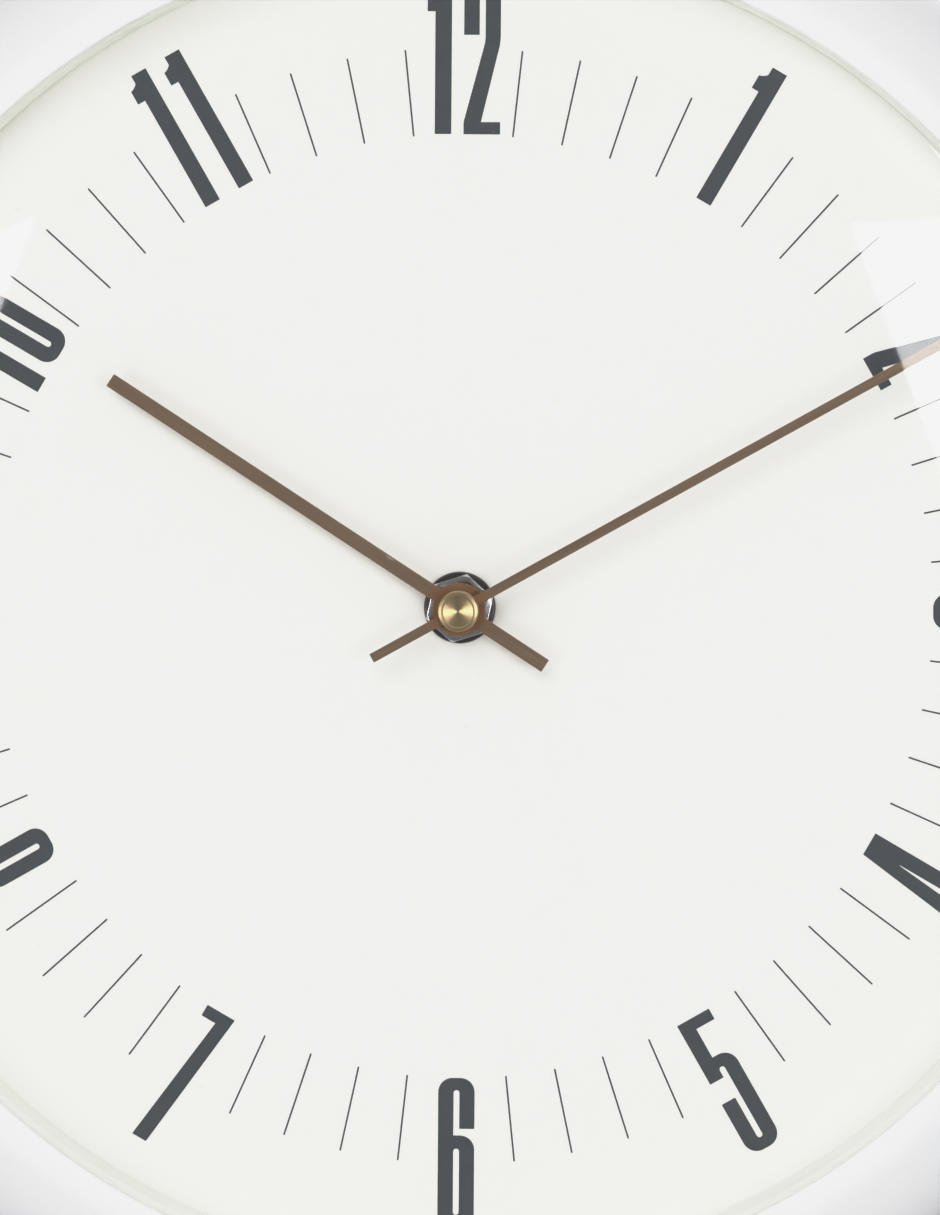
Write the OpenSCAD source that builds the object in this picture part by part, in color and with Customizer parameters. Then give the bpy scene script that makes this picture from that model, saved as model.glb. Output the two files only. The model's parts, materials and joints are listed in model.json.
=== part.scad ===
// Round wall clock: white moulded frame, domed lens, printed dial, bar hands and an
// encapsulated quartz movement. Millimetres. The wall face is the plane y = 0, the hand
// axis runs along y through the origin, +z is up and the dial faces -y.

/* [Body] */
// Outside diameter of the frame
frame_d = 300; // [260:1:340]
// Radius of the opening in the frame lip
lip_r = 126.9; // [110:0.1:140]
// Height of the frame crest above the wall
crest_z = 41; // [36:0.5:48]
// Wall thickness of the frame moulding
shell_t = 2.5; // [2:0.1:4]
// Rise of the lens dome above its seat
dome_rise = 8; // [4:0.5:12]
// Lens thickness
lens_t = 2; // [1.5:0.1:3]
// Radius of the dial that shows inside the spacer ring
dial_open_r = 125.1; // [110:0.1:130]
// Height of the printed dial face above the wall
dial_z = 24; // [22:0.5:28]

/* [Dial print] */
// Inner radius of the minute lines and of the numerals
print_r = 89.75; // [80:0.05:95]
// Length of a minute line
tick_l = 16.4; // [10:0.1:20]
// Width of a minute line
tick_w = 0.3; // [0.2:0.05:1]
// Height of the numerals
num_h = 28.5; // [24:0.1:32]
// Upright stroke of the numerals
num_v = 2.9; // [2:0.05:3.5]
// Level stroke of the numerals
num_s = 2.3; // [1.5:0.05:3]
// Height of the ink
ink_t = 0.1; // [0.05:0.05:0.3]

/* [Hands] */
// Hour hand, hub to tip
hour_l = 79; // [60:0.5:90]
// Hour hand, hub to tail end
hour_tail = 19.5; // [10:0.5:30]
// Hour hand width
hour_w = 2.66; // [2:0.02:5]
// Minute hand, hub to tip
minute_l = 110; // [95:0.5:120]
// Minute hand, hub to tail end
minute_tail = 18.8; // [10:0.1:30]
// Minute hand width
minute_w = 1.8; // [1:0.1:4]
// Hour hand angle, clockwise from twelve
hour_a = 302.9; // [0:0.1:360]
// Minute hand angle, clockwise from twelve
minute_a = 60.6; // [0:0.1:360]
// Diameter of the brass cap
cap_d = 7.6; // [6:0.1:10]

/* [Movement] */
// Side of the square movement case
case_w = 56; // [54:0.5:58]
// Depth of the movement case
case_t = 15.5; // [15:0.1:18]
// Thread diameter of the mounting collar
collar_d = 8; // [7:0.5:10]
// Mounting nut across flats
nut_af = 11.5; // [10:0.1:14]
// Washer diameter
washer_d = 13.6; // [12:0.1:18]
// Battery diameter
cell_d = 14.5; // [13.5:0.1:14.5]
// Battery length
cell_l = 50.5; // [49.5:0.1:50.5]

/* [Hidden] */
$fn = 96;
frame_r = frame_d / 2;
wall_t = 1.2;
case_h = case_w / 2;
collar_z = dial_z + 4;
dial_t = 1.5;
pad_t = 1.2;
front_z = dial_z - dial_t - pad_t;
case_z = front_z - case_t;
inner_z = front_z - wall_t;
floor_z = case_z + wall_t;
seat_r = 130;
wall_r = 130.2;
lens_z = crest_z - 1.8;
dome_r = 126.5;
dome_ball = (dome_r * dome_r + dome_rise * dome_rise) / (2 * dome_rise);
dome_c = lens_z + dome_rise - dome_ball;
ridge_r = 129.5;
ridge_ball = 6.6;
ridge_a = 32;
side_ball = 37.4;
cover_z = 2;
cover_t = 2.2;
cover_r = 147;
boss_r = 139;
hang_y = 92;
hang_hole_r = 4.5;
hang_slot_r = 2.2;
hang_rise = 9;
screws_at = [for (x = [-13, 13]) for (y = [-13, 13]) [x, hang_y + 4 + y]];
bridge_z = 13.9;
bridge_t = 0.7;
cell_y = -19.5;
cell_z = case_z + 6.8;
divide_y = -12;

// Tooth modules, and the distance and direction from one wheel centre to the next
m_minute = 0.27;
m_centre = 0.2125;
m_third = 0.225;
m_second = 0.25;
m_step = 0.2;
c_minute = 8.1;
a_minute = 60;
a_knob = 20;
c_third = 7.65;
a_third = 150;
c_step = 6;
a_step = 240;
c_rotor = 5.6;
a_rotor = 165;
p_minute = [c_minute * cos(a_minute), c_minute * sin(a_minute)];
p_knob = p_minute + [c_minute * cos(a_knob), c_minute * sin(a_knob)];
p_third = [c_third * cos(a_third), c_third * sin(a_third)];
p_step = [c_step * cos(a_step), c_step * sin(a_step)];
p_rotor = p_step + [c_rotor * cos(a_rotor), c_rotor * sin(a_rotor)];
post_r = 1.3;
posts = [[9, -6], [-15.5, 9], [2, 12.5], [-12.5, -9.2]];
coil_x = -21.5;
coil_y0 = -7;
coil_y1 = 13;
core_z = 8.9;
board_z = 9.9;
board_t = 0.8;
board_pins = [[-24.6, 18.2], [-6.5, 15.4]];
strip_z = 9.2;
strip_t = 0.3;

// Underside of each wheel above the wall, from the hands down to the motor
hour_level = 18.7;
minute_level = 16.7;
cannon_level = 16.5;
centre_level = 15;
third_level = 12.8;
second_level = 11.2;
step_level = 9.6;
wheel_t = 0.8;
thick_t = 1.2;
foot_z = floor_z - 0.65;

// Turns the face-up layout so that the dial faces -y
module face() { rotate([90, 0, 0]) children(); }
// Lifts a part of the layout to a height
module up(z) { translate([0, 0, z]) children(); }
// Places a part at a point of the layout and a height
module at(p, z) { translate([p[0], p[1], z]) children(); }
module disc(r, h) { cylinder(r = r, h = h); }
module ring(r, bore, h) {
  difference() {
    cylinder(r = r, h = h);
    up(-1) cylinder(r = bore, h = h + 2);
  }
}
module block(a, b) { translate(a) cube([b[0] - a[0], b[1] - a[1], b[2] - a[2]]); }

// Plain rectangle from corner a to corner b
module rect(a, b) { translate(a) square([b[0] - a[0], b[1] - a[1]]); }
// Rectangle from corner a to corner b with rounded corners
module rrect(a, b, r) {
  rect([a[0] + r, a[1]], [b[0] - r, b[1]]);
  rect([a[0], a[1] + r], [b[0], b[1] - r]);
  for (x = [a[0] + r, b[0] - r])
    for (y = [a[1] + r, b[1] - r])
      translate([x, y]) circle(r = r);
}

// Cycloidal teeth: radial flanks below the pitch circle, epicycloid tips above it.
// n teeth of module m, mate teeth on the other gear, tooth share f, tip ha, root hd.
function tip_shift(r, rp, ro) =
  let (b = acos(min(1, ((rp + ro) * (rp + ro) + ro * ro - r * r) / (2 * ro * (rp + ro)))))
  ro * b / rp - atan2(ro * sin(b), rp + ro - ro * cos(b));
function tooth(n, m, mate, f, ha, hd) =
  let (rp = n * m / 2, ro = mate * m / 4, w = 180 * f / n,
    rt = [for (k = [0, 0.4, 0.75, 1]) rp + ha * m * k],
    wt = [for (r = rt) w - tip_shift(r, rp, ro)])
  concat([[rp - hd * m, -w]], [for (i = [0 : 3]) [rt[i], -wt[i]]],
    [for (i = [3 : -1 : 0]) [rt[i], wt[i]]], [[rp - hd * m, w]]);
module teeth(n, m, mate, f, ha, hd, turn) {
  t = tooth(n, m, mate, f, ha, hd);
  polygon([for (i = [0 : n - 1]) for (p = t)
    let (a = turn + 360 * i / n + p[1]) [p[0] * cos(a), p[0] * sin(a)]]);
}
wheel_f = 0.42;
pinion_f = 0.37;
wheel_ha = 1.0;
pinion_ha = 0.7;
wheel_hd = 1.25;
pinion_hd = 1.55;
module wheel(n, m, mate, turn, h) {
  linear_extrude(h) teeth(n, m, mate, wheel_f, wheel_ha, wheel_hd, turn);
}
module pinion(n, m, mate, turn, h) {
  linear_extrude(h) teeth(n, m, mate, pinion_f, pinion_ha, pinion_hd, turn);
}
// Turn that puts a gap of an n-tooth gear at angle a
function gap_at(a, n) = a + 180 / n;
// Turn of an n-tooth gear in mesh at angle a with a gear of k teeth whose turn is t
function mesh_turn(a, n, k, t) = a + 180 + 180 / n - (t - a) * k / n;
// Row of round lightening holes in a wheel web
module web_holes(count, at_r, r) {
  for (i = [0 : count - 1]) rotate([0, 0, 360 * i / count + 45 / count])
    translate([at_r, 0, -5]) cylinder(r = r, h = 30);
}

// Section of the frame: crest, soft ridge, convex side and upright rim
function ridge(o) = [for (a = [0 : 4 : ridge_a])
  [ridge_r + (ridge_ball - o) * sin(a), crest_z - ridge_ball + (ridge_ball - o) * cos(a)]];
side_cr = ridge_r + (ridge_ball - side_ball) * sin(ridge_a);
side_cz = crest_z - ridge_ball + (ridge_ball - side_ball) * cos(ridge_a);
side_end = asin((frame_r - side_cr) / side_ball);
function side(o) = [for (k = [0 : 16]) let (a = ridge_a + (side_end - ridge_a) * k / 16)
  [side_cr + (side_ball - o) * sin(a), side_cz + (side_ball - o) * cos(a)]];
rim_edge = 0.8;
function outline(o, z) = concat([[120, crest_z - o]], ridge(o), [for (k = [1 : 16]) side(o)[k]],
  [[frame_r - o, z + rim_edge], [frame_r - o - rim_edge, z], [120, z]]);

module front_frame() {
  lip_t = 0.6;
  color("white") face() {
    difference() {
      rotate_extrude($fn = 180) difference() {
        polygon(outline(0, 0));
        // hollow behind the shell, outside the locating wall
        intersection() {
          polygon(outline(shell_t, -2));
          rect([wall_r + 2, -3], [frame_r, 60]);
        }
        // opening, lens pocket and the stepped seat of the dial stack
        rect([100, -3], [lip_r, 60]);
        rect([100, -3], [wall_r, lens_z]);
        rect([100, -3], [wall_r + 3, 8]);
        // eased inner edge of the lip
        polygon([[lip_r - 1, crest_z + 1], [lip_r - 1, crest_z - lip_t - 1],
          [lip_r, crest_z - lip_t], [lip_r + lip_t, crest_z], [lip_r + lip_t, crest_z + 1]]);
      }
    }
    // screw pillars under the shell
    difference() {
      intersection() {
        for (k = [0 : 5]) rotate([0, 0, 30 + 60 * k])
          translate([boss_r, 0, cover_z + cover_t]) disc(3.6, 36);
        rotate_extrude($fn = 180) polygon(outline(shell_t / 2, 0));
      }
      for (k = [0 : 5]) rotate([0, 0, 30 + 60 * k]) translate([boss_r, 0, -1]) disc(1.5, 16);
    }
  }
}

module glass_lens() {
  color([0.8, 0.95, 0.9, 0.3]) face() {
    intersection() {
      difference() {
        up(dome_c) sphere(r = dome_ball, $fn = 180);
        up(dome_c) sphere(r = dome_ball - lens_t, $fn = 180);
      }
      up(lens_z - lens_t) disc(dome_r, dome_rise + lens_t + 2);
    }
    up(lens_z - lens_t) ring(seat_r, dome_r - 0.5, lens_t);
  }
}

module spacer_ring() {
  foot = 1.6;
  top = lens_z - lens_t;
  color("silver") face() rotate_extrude($fn = 180) polygon([
    [dial_open_r, dial_z], [seat_r, dial_z], [seat_r, dial_z + foot],
    [dial_open_r + 2.2, dial_z + foot], [lip_r + 1.4, top - foot], [seat_r, top - foot],
    [seat_r, top], [lip_r - 0.2, top]]);
}

module dial_plate() {
  color("ivory") face() up(dial_z - dial_t) ring(seat_r, collar_d / 2 + 0.2, dial_t);
}

// Numerals, each drawn on its baseline with its left edge at x = 0
num_w = 6.9;
num_r = 2.7;
slot_a = num_v;
slot_b = num_w - num_v + 0.05;
module slot(y0, y1) { rrect([slot_a, y0], [slot_b, y1], (slot_b - slot_a) / 2 - 0.01); }
module d0() {
  difference() {
    rrect([0, 0], [num_w, num_h], num_r);
    slot(num_s, num_h - num_s);
  }
}
module d1() {
  flag_w = 1.5;
  flag_y = 23.2;
  rect([flag_w, 0], [flag_w + 3.1, num_h]);
  difference() {
    rect([0, flag_y], [flag_w + 1, num_h]);
    translate([-0.6, num_h + 0.1]) circle(r = 2.75);
  }
}
module d2() {
  turn_y = 18.3;
  difference() {
    rrect([0, turn_y - 4], [num_w, num_h], num_r);
    rect([-1, 0], [num_w + 1, turn_y]);
    slot(turn_y - 4, num_h - num_s);
    rect([-1, 0], [slot_a + 0.3, turn_y + 0.5]);
  }
  polygon([[slot_b, turn_y + 0.6], [num_w, turn_y + 0.6], [num_w, turn_y], [6.75, 16.8], [6.35, 15.2],
    [3.05, 1.5], [0, 1.5], [0, num_s], [3.6, 15.9], [3.95, 17.3], [slot_b, turn_y]]);
  rect([0, 0], [num_w, num_s]);
}
module d3() {
  difference() {
    union() {
      rrect([0, 0], [num_w, 15.3], num_r);
      rrect([0, 13.5], [num_w, num_h], num_r);
    }
    slot(num_s, 13.2);
    slot(15.6, num_h - num_s);
    rect([-1, 8.8], [slot_a, 20]);
    rect([slot_a - 0.1, 12], [slot_a + 0.3, 17]);
  }
}
module d4() {
  bar_y = 6.7;
  arm_y = 9.1;
  stem_a = 4.09;
  polygon([[2.31, num_h], [5, num_h], [5, 21.4], [3.95, 21.4], [2.83, arm_y - 0.5], [0, arm_y - 0.5],
    [0, arm_y]]);
  rect([stem_a, 0], [6.95, num_h]);
  rect([0, bar_y], [7.9, arm_y]);
}
module d5() {
  bowl_y = 20;
  gap_y = 11.25;
  stem_y = 15.7;
  difference() {
    rrect([0, 0], [num_w, bowl_y], num_r + 0.1);
    slot(num_s, bowl_y - num_s);
    rect([-1, gap_y], [slot_a + 0.01, stem_y]);
  }
  rect([0, stem_y], [slot_a, num_h]);
  rect([0, num_h - num_s + 0.05], [num_w, num_h]);
}
module d6() {
  bowl_y = 17.5;
  hook_y = 18.8;
  difference() {
    rrect([0, 0], [num_w, bowl_y], num_r);
    slot(num_s, bowl_y - num_s - 0.2);
  }
  difference() {
    rrect([0, bowl_y - 6], [num_w, num_h], num_r);
    slot(bowl_y - 6, num_h - num_s);
    rect([slot_a - 0.01, 0], [num_w + 1, hook_y]);
    rect([-1, 0], [num_w + 1, bowl_y - 3]);
  }
}
module d7() {
  leg_x = 3;
  wide = 5.96;
  polygon([[0, 0], [leg_x, 0], [wide, num_h], [0, num_h], [0, num_h - num_s],
    [leg_x + 0.04, num_h - num_s]]);
}
module d8() {
  difference() {
    union() {
      rrect([0, 0], [num_w, 15.3], num_r);
      rrect([0, 14], [num_w, num_h], num_r);
    }
    slot(num_s, 13.3);
    slot(15.9, num_h - num_s);
  }
}
module d9() { translate([num_w, num_h]) rotate(180) d6(); }
// A numeral at hour k, shifted by x from its middle line; heads = 1 stands it on the centre
module put(k, x, heads) {
  rotate([0, 0, -30 * k]) translate([0, print_r + num_h / 2, dial_z])
    rotate([0, 0, heads == 1 ? 0 : 180]) translate([x, -num_h / 2, 0])
      linear_extrude(ink_t) children();
}
module dial_numerals() {
  one_l = -6.9;
  color([0.3, 0.33, 0.35]) face() {
    put(1, -2.3, 1) d1();
    put(2, -num_w / 2, 1) d2();
    put(3, -num_w / 2, 1) d3();
    put(4, -3.95, 0) d4();
    put(5, -num_w / 2, 0) d5();
    put(6, -num_w / 2, 0) d6();
    put(7, -2.98, 0) d7();
    put(8, -num_w / 2, 0) d8();
    put(9, -num_w / 2, 1) d9();
    put(10, one_l, 1) d1();
    put(10, 0.05, 1) d0();
    put(11, -5.93, 1) d1();
    put(11, 1.33, 1) d1();
    put(12, one_l, 1) d1();
    put(12, 0.05, 1) d2();
  }
}
module minute_ticks() {
  color([0.3, 0.33, 0.35]) face()
    for (k = [0 : 59]) if (k % 5 != 0) rotate([0, 0, -6 * k])
      block([-tick_w / 2, print_r, dial_z], [tick_w / 2, print_r + tick_l, dial_z + ink_t]);
}

module back_cover() {
  window = case_h + 2;
  in_z = cover_z + cover_t;
  rib_h = 4;
  pocket = [9.5, 5.5];
  wall = 1.5;
  border = 4;
  border_h = 0.8;
  groove = [1.2, 0.6];
  color("gainsboro") face() difference() {
    union() {
      up(cover_z) disc(cover_r, cover_t);
      // clamping wall behind the dial edge
      up(cover_z) ring(126.5, 124, dial_z - dial_t - cover_z);
      // stiffening ribs
      for (k = [0 : 7]) rotate([0, 0, 22.5 + 45 * k])
        block([44, -0.8, in_z - 1], [124.5, 0.8, in_z + rib_h]);
      // raised border round the movement window, outside
      block([-window - border, -window - border, cover_z - border_h],
        [window + border, window + border, cover_z + 0.5]);
      // frame round the movement window
      block([-window - wall, -window - wall, in_z - 1], [window + wall, window + wall, in_z + rib_h]);
      // pocket for the head of the wall screw and pillars for the plate screws
      block([-pocket[0] - wall, hang_y - 7 - wall, in_z - 1],
        [pocket[0] + wall, hang_y + hang_rise + 6 + wall, in_z + pocket[1] + wall]);
      for (p = screws_at) at(p, in_z - 1) disc(2.8, 6);
    }
    block([-window, -window, -1], [window, window, 30]);
    // moulded rings on the outside
    for (r = [58, 118]) up(cover_z - 1) ring(r + groove[0], r, groove[1] + 1);
    block([-pocket[0], hang_y - 7, -1], [pocket[0], hang_y + hang_rise + 6, in_z + pocket[1]]);
    for (p = screws_at) at(p, -1) disc(1.15, 10);
    for (k = [0 : 5]) rotate([0, 0, 30 + 60 * k]) translate([boss_r, 0, -1]) disc(1.8, 10);
  }
}

module hanger_plate() {
  plate_t = 1.2;
  half = [16.5, 17];
  color("lightsteelblue") face() up(cover_z - plate_t) difference() {
    linear_extrude(plate_t) difference() {
      rrect([-half[0], hang_y + 4 - half[1]], [half[0], hang_y + 4 + half[1]], 3);
      translate([0, hang_y]) circle(r = hang_hole_r);
      rect([-hang_slot_r, hang_y], [hang_slot_r, hang_y + hang_rise]);
      translate([0, hang_y + hang_rise]) circle(r = hang_slot_r);
    }
    for (p = screws_at) at(p, -0.01) cylinder(r1 = 2.11, r2 = 1.2, h = plate_t + 0.02);
  }
}
module hanger_screws() {
  head = 1;
  z0 = cover_z - 1.15;
  color("silver") face() for (p = screws_at) at(p, z0) difference() {
    union() {
      cylinder(r1 = 1.95, r2 = 1.1, h = head);
      up(head - 0.1) disc(1.1, 6.4);
    }
    block([-1.3, -0.25, -1], [1.3, 0.25, 0.5]);
    block([-0.25, -1.3, -1], [0.25, 1.3, 0.5]);
  }
}
module case_screws() {
  head = 1.5;
  color("silver") face() for (k = [0 : 5]) rotate([0, 0, 30 + 60 * k])
    translate([boss_r, 0, cover_z - head]) difference() {
      union() {
        cylinder(r1 = 2.5, r2 = 2.9, h = head);
        disc(1.45, 11 + head);
      }
      block([-1.7, -0.35, -1], [1.7, 0.35, 0.8]);
      block([-0.35, -1.7, -1], [0.35, 1.7, 0.8]);
    }
}

// Pivot holes in the two halves of the case
pivot_r = 0.3;
pivot_bore = 0.36;
pivot_h = 0.7;
module movement_case_front() {
  side_in = case_h - wall_t;
  color([0.15, 0.15, 0.16]) face() difference() {
    union() {
      difference() {
        union() {
          up(floor_z) linear_extrude(case_t - wall_t) rrect([-case_h, -case_h], [case_h, case_h], 2);
          up(case_z) linear_extrude(wall_t + 1) difference() {
            rrect([-case_h, -case_h], [case_h, case_h], 2);
            rect([-case_h - 1, divide_y], [case_h + 1, case_h + 1]);
          }
        }
        block([-side_in, divide_y + 1, case_z - 1], [side_in, side_in, inner_z]);
        block([-side_in, -side_in, case_z - 1], [side_in, divide_y, inner_z]);
      }
      up(inner_z) disc(collar_d / 2, collar_z - inner_z);
      // shallow raised seat round the collar
      up(inner_z) disc(7, wall_t);
    }
    // notches in the dividing wall where the contact strips pass
    for (x = [25.2, -26.9])
      block([x, divide_y - 1, strip_z - 0.2], [x + 1.7, divide_y + 2, strip_z + 3.2]);
    up(-1) disc(2.55, 60);
    for (p = [p_minute, p_knob, p_third]) at(p, inner_z - 0.01) disc(pivot_bore, pivot_h);
  }
}
module movement_case_back() {
  color([0.2, 0.2, 0.22]) face() difference() {
    union() {
      up(case_z) linear_extrude(wall_t) difference() {
        rrect([-case_h, -case_h], [case_h, case_h], 2);
        rect([-case_h - 1, -case_h - 1], [case_h + 1, divide_y]);
      }
      for (p = posts) at(p, floor_z - 0.5) disc(post_r, bridge_z - floor_z + 0.5);
      // locating lip inside the case walls
      up(floor_z - 0.1) linear_extrude(1.1) difference() {
        rect([-case_h + wall_t + 0.1, divide_y + 1.1], [case_h - wall_t - 0.1, case_h - wall_t - 0.1]);
        rect([-case_h + wall_t + 0.9, divide_y + 1.9], [case_h - wall_t - 0.9, case_h - wall_t - 0.9]);
      }
      // board posts with pins
      for (p = board_pins) at(p, floor_z - 0.5) {
        disc(1.1, board_z - floor_z + 0.5);
        disc(0.5, board_z - floor_z + 0.5 + board_t + 0.4);
      }
      // stub bearing of the setting arbor
      at(p_knob, floor_z - 0.1) disc(2, 2);
    }
    for (p = [p_third, p_step, p_rotor, [0, 0]]) at(p, floor_z - pivot_h) disc(pivot_bore, 5);
    at(p_knob, -1) disc(0.9, 20);
  }
}
module wheel_plate() {
  color("khaki") face() up(bridge_z) linear_extrude(bridge_t) difference() {
    polygon([[11.5, -8.2], [11.5, -3], [4.6, 14.6], [0, 15], [-17.4, 11.4], [-17.4, 6.6],
      [-14.6, -1], [-14.6, -10.4], [-1, -10.4], [7, -8.2]]);
    circle(r = 0.46);
    translate(p_third) circle(r = 1.35);
    translate(p_minute) circle(r = pivot_bore);
    translate(p_step) circle(r = pivot_bore);
    translate(p_rotor) circle(r = pivot_bore);
  }
}

module rubber_washer() { color("black") face() up(front_z) ring(8, collar_d / 2 + 0.1, pad_t); }
washer_t = 1;
nut_t = 2.2;
module mounting_washer() {
  color([0.2, 0.2, 0.2]) face() up(dial_z) ring(washer_d / 2, collar_d / 2 + 0.1, washer_t);
}
module mounting_nut() {
  nut_r = nut_af / 2 / cos(30);
  color("silver") face() up(dial_z + washer_t) difference() {
    intersection() {
      rotate([0, 0, 18]) cylinder(r = nut_r, h = nut_t, $fn = 6);
      cylinder(r1 = nut_r + nut_t * 1.2, r2 = nut_r - 0.45, h = nut_t);
    }
    up(-1) disc(collar_d / 2, 10);
  }
}

// Hands
hour_z = dial_z + 5.4;
minute_z = dial_z + 8.6;
hand_t = 0.5;
tube_r = 2.5;
post_bore = 1.3;
module bar(z, l, tail, w, a, hub, bore) {
  rotate([0, 0, -a]) up(z) linear_extrude(hand_t) difference() {
    union() {
      rect([-w / 2, -tail], [w / 2, l]);
      circle(r = hub);
    }
    circle(r = bore);
  }
}
module hour_hand() {
  color([0.45, 0.38, 0.32]) face() {
    bar(hour_z, hour_l, hour_tail, hour_w, hour_a, 5.05, tube_r);
    up(hour_z - 0.9) ring(3.3, tube_r, 0.95);
  }
}
module minute_hand() {
  color([0.45, 0.38, 0.32]) face()
    bar(minute_z, minute_l, minute_tail, minute_w, minute_a, 3.3, post_bore);
}
module cap_nut() {
  cap_h = 3.1;
  color("gold") face() up(minute_z + hand_t) difference() {
    union() {
      disc(cap_d / 2, cap_h - 0.35);
      up(cap_h - 0.35) cylinder(r1 = cap_d / 2, r2 = cap_d / 2 - 0.35, h = 0.35);
    }
    up(-1) disc(post_bore, 3.1);
    up(cap_h - 0.12) disc(cap_d / 2 - 0.9, 1);
  }
}

// Motion work
mw_turn = a_minute + 180;
cannon_t = 1.6;
tube_z = 17;
module cannon_pinion() {
  low = bridge_z + bridge_t + 0.1;
  top = minute_z + hand_t + 2;
  color("goldenrod") face() difference() {
    union() {
      up(low) disc(0.9, 3);
      up(cannon_level) pinion(15, m_minute, 45, gap_at(a_minute, 15), cannon_t);
      up(tube_z) disc(1.6, minute_z - tube_z);
      up(minute_z - 1) disc(post_bore, top - minute_z + 1);
    }
    up(0) disc(0.48, top - 0.6);
  }
}
module clutch_spring() {
  top = cannon_level - 0.35;
  color("silver") face() difference() {
    union() {
      up(top) disc(1.7, 0.25);
      for (k = [0 : 2]) rotate([0, 0, 120 * k]) block([1.2, -0.4, top - 0.25], [3.1, 0.4, top]);
      for (k = [0 : 2]) rotate([0, 0, 120 * k]) block([1, -0.4, top - 0.15], [2, 0.4, top + 0.15]);
    }
    disc(0.95, 30);
  }
}
module minute_wheel() {
  color("whitesmoke") face() at(p_minute, 0) difference() {
    union() {
      up(minute_level) wheel(45, m_minute, 15, mw_turn, 1);
      up(tube_z) pinion(12, m_minute, 48, gap_at(mw_turn, 12), 2.9);
      up(centre_level - 0.2) disc(0.6, 3);
      up(bridge_z + 0.05) disc(pivot_r, 6);
      up(inner_z - 1.1) disc(pivot_r, 1.7);
    }
    web_holes(5, 3.7, 0.9);
  }
}
module hour_wheel() {
  color("whitesmoke") face() difference() {
    union() {
      up(hour_level) wheel(48, m_minute, 12, a_minute, thick_t);
      up(hour_level) disc(tube_r, hour_z + hand_t + 0.3 - hour_level);
    }
    disc(1.66, 60);
  }
}
module setting_knob() {
  grip_z = 2.9;
  color([0.25, 0.25, 0.26]) face() at(p_knob, 0) {
    up(cannon_level) pinion(15, m_minute, 45, mesh_turn(a_knob, 15, 45, mw_turn), cannon_t);
    up(4.5) disc(0.85, 12.2);
    up(cannon_level) disc(pivot_r, 4.1);
    up(grip_z) difference() {
      linear_extrude(2.5) union() {
        circle(r = 4.7);
        for (k = [0 : 23]) rotate(15 * k) translate([4.7, 0]) circle(r = 0.35);
      }
      up(-1) ring(3.7, 1.5, 1.8);
    }
  }
}

// Going train
module centre_wheel() {
  color("ivory") face() difference() {
    up(centre_level) wheel(64, m_centre, 8, a_third, wheel_t);
    disc(0.94, 40);
    web_holes(6, 4.6, 1.1);
  }
}
module third_wheel() {
  color("ivory") face() at(p_third, 0) difference() {
    union() {
      up(third_level) wheel(60, m_third, 8, a_third + 180, wheel_t);
      up(centre_level - 0.2) pinion(8, m_centre, 64, gap_at(a_third + 180, 8), thick_t);
      up(third_level - 0.6) disc(0.45, 4.6);
      up(foot_z) disc(pivot_r, 14.3);
    }
    web_holes(6, 4.2, 1.1);
  }
}
module second_wheel() {
  color("ivory") face() difference() {
    union() {
      up(second_level) wheel(40, m_second, 8, a_step, wheel_t);
      up(second_level + 0.3) pinion(8, m_third, 60, gap_at(a_third, 8), 2.25);
      up(9) disc(0.4, 24.6);
      up(foot_z) disc(pivot_r, 4);
    }
    web_holes(5, 3, 0.8);
  }
}
module step_wheel() {
  color("ivory") face() at(p_step, 0) difference() {
    union() {
      up(step_level) wheel(48, m_step, 8, a_rotor, wheel_t);
      up(second_level - 1.2) pinion(8, m_second, 40, gap_at(a_step + 180, 8), 2.2);
      up(9) disc(0.5, 4.3);
      up(foot_z) disc(pivot_r, 8);
    }
    web_holes(5, 3, 0.8);
  }
}
magnet_z = 7.6;
module rotor_pinion() {
  color("ivory") face() at(p_rotor, 0) {
    up(step_level - 0.3) pinion(8, m_step, 48, gap_at(a_rotor + 180, 8), 1.3);
    up(magnet_z - 0.3) disc(0.45, 6);
    up(foot_z) disc(pivot_r, 8);
  }
}
module rotor_magnet() { color("dimgray") face() at(p_rotor, magnet_z) ring(2.5, 0.45, 1.6); }

// Stepping motor
stator_z = core_z - 1;
module stator() {
  arm = 3.2;
  color("lightgray") face() up(stator_z) linear_extrude(1) difference() {
    union() {
      translate(p_rotor) circle(r = 4.7);
      rect([coil_x - 1.6, coil_y0 - 1.5], [p_rotor[0] - 2, coil_y0 - 1.5 + arm]);
      polygon([p_rotor + [-4.6, 0], p_rotor + [-0.8, 4.6], [-15.2, 13.4], [-16, 16], [coil_x - 1.6, 16],
        [coil_x - 1.6, coil_y1 - 0.2], [-17.6, coil_y1 - 0.2]]);
    }
    translate(p_rotor) circle(r = 2.9);
    translate(posts[3]) circle(r = post_r + 0.15);
    translate(posts[1]) circle(r = post_r + 0.15);
  }
}
module coil_core() {
  color("gray") face() {
    block([coil_x - 1.1, coil_y0 - 1.4, core_z], [coil_x + 1.1, coil_y1 + 2.8, core_z + 1]);
  }
}
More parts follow.
